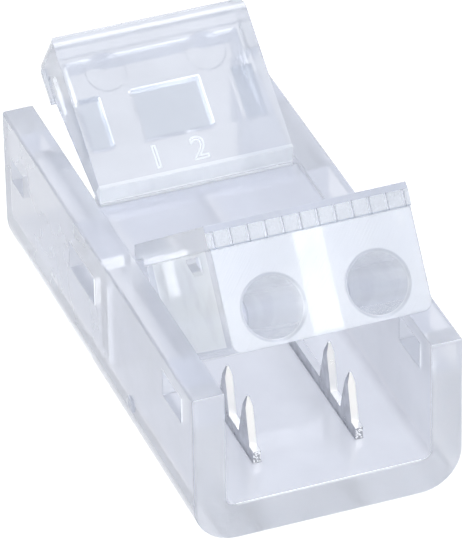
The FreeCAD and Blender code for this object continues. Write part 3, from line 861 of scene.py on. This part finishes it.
class CONNECTOR_OT_stage(bpy.types.Operator):
    """White floor, soft lamps and the camera"""

    bl_idname = "connector.stage"
    bl_label = "Stage"

    def execute(self, context):
        stage = context.scene.connector_stage
        scene = context.scene
        scene.view_settings.view_transform = "Standard"

        world = bpy.data.worlds.new("studio")
        scene.world = world
        world.use_nodes = True
        sky = world.node_tree.nodes["Background"]
        sky.inputs["Color"].default_value = SKY_COLOUR
        sky.inputs["Strength"].default_value = SKY_STRENGTH
        show_white(world.node_tree, ("Is Camera Ray", "Is Glossy Ray", "Is Transmission Ray"),
                   "ShaderNodeBackground", sky.outputs[0], world.node_tree.nodes["World Output"])

        floor = bpy.data.meshes.new("floor")
        corners = [(x * FLOOR_HALF, y * FLOOR_HALF, 0) for x, y in ((-1, -1), (1, -1), (1, 1), (-1, 1))]
        floor.from_pydata(corners, [], [(0, 1, 2, 3)])
        ground = bpy.data.objects.new("floor", floor)
        ground.location.z = -FLOOR_DROP
        scene.collection.objects.link(ground)
        material, tree, shader = new_material("floor", stage.floor_colour[:])
        shader.inputs["Base Color"].default_value = (*stage.floor_colour[:], 1)
        shader.inputs["Roughness"].default_value = 0.6
        path = tree.nodes.new("ShaderNodeLightPath")
        lift = combine(tree, "MULTIPLY", path.outputs["Is Camera Ray"], FLOOR_LIFT)
        shader.inputs["Emission Color"].default_value = FLOOR_LIFT_COLOUR
        tree.links.new(lift, shader.inputs["Emission Strength"])
        show_white(tree, ("Is Glossy Ray", "Is Transmission Ray"),
                   "ShaderNodeEmission", shader.outputs[0], tree.nodes["Material Output"])
        paint(ground, material)

        for lamp in LAMPS:
            soft_lamp(*lamp)

        camera = bpy.data.cameras.new("camera")
        camera.lens = stage.lens
        camera.sensor_width = SENSOR_WIDTH
        camera.shift_x, camera.shift_y = CAMERA_SHIFT
        camera.clip_start, camera.clip_end = 0.01, 10
        holder = bpy.data.objects.new("camera", camera)
        azimuth, elevation, roll = (math.radians(turn) for turn in CAMERA_TURNS)
        back = Vector((math.sin(azimuth) * math.cos(elevation),
                       -math.cos(azimuth) * math.cos(elevation), math.sin(elevation)))
        level = Vector((math.cos(azimuth), math.sin(azimuth), 0))
        above = back.cross(level)
        right = math.cos(roll) * level + math.sin(roll) * above
        up = -math.sin(roll) * level + math.cos(roll) * above
        target = Vector(CAMERA_TARGET) * MM
        holder.matrix_world = (Matrix.Translation(target + back * CAMERA_DISTANCE)
                               @ Matrix((right, up, back)).transposed().to_4x4())
        scene.collection.objects.link(holder)
        scene.camera = holder
        return {"FINISHED"}


class CONNECTOR_PT_panel(bpy.types.Panel):
    """Steps of the dressing, in order"""

    bl_label = "Connector"
    bl_space_type = "VIEW_3D"
    bl_region_type = "UI"
    bl_category = "Connector"

    def draw(self, context):
        for operator in OPERATORS:
            self.layout.operator(operator.bl_idname)
        for name in SETTINGS:
            settings = getattr(context.scene, name)
            box = self.layout.box()
            for prop in settings.bl_rna.properties:
                if not prop.is_readonly and prop.identifier != "name":
                    box.prop(settings, prop.identifier)


SETTINGS = {
    "connector_plastic": PlasticSettings,
    "connector_metal": MetalSettings,
    "connector_film": FilmSettings,
    "connector_marks": MarkSettings,
    "connector_stage": StageSettings,
}
OPERATORS = (
    CONNECTOR_OT_stage,
    CONNECTOR_OT_mouldings,
    CONNECTOR_OT_contacts,
    CONNECTOR_OT_hinge_films,
    CONNECTOR_OT_track_numbers,
    CONNECTOR_OT_gate_mark,
)


def register():
    for kind in (*SETTINGS.values(), *OPERATORS, CONNECTOR_PT_panel):
        bpy.utils.register_class(kind)
    for name, kind in SETTINGS.items():
        setattr(bpy.types.Scene, name, PointerProperty(type=kind))


def unregister():
    for name in SETTINGS:
        delattr(bpy.types.Scene, name)
    for kind in reversed((*SETTINGS.values(), *OPERATORS, CONNECTOR_PT_panel)):
        bpy.utils.unregister_class(kind)


def main():
    """Registers the add-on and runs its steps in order."""
    register()
    for operator in OPERATORS:
        area, verb = operator.bl_idname.split(".")
        getattr(getattr(bpy.ops, area), verb)()


if __name__ == "__main__":
    main()
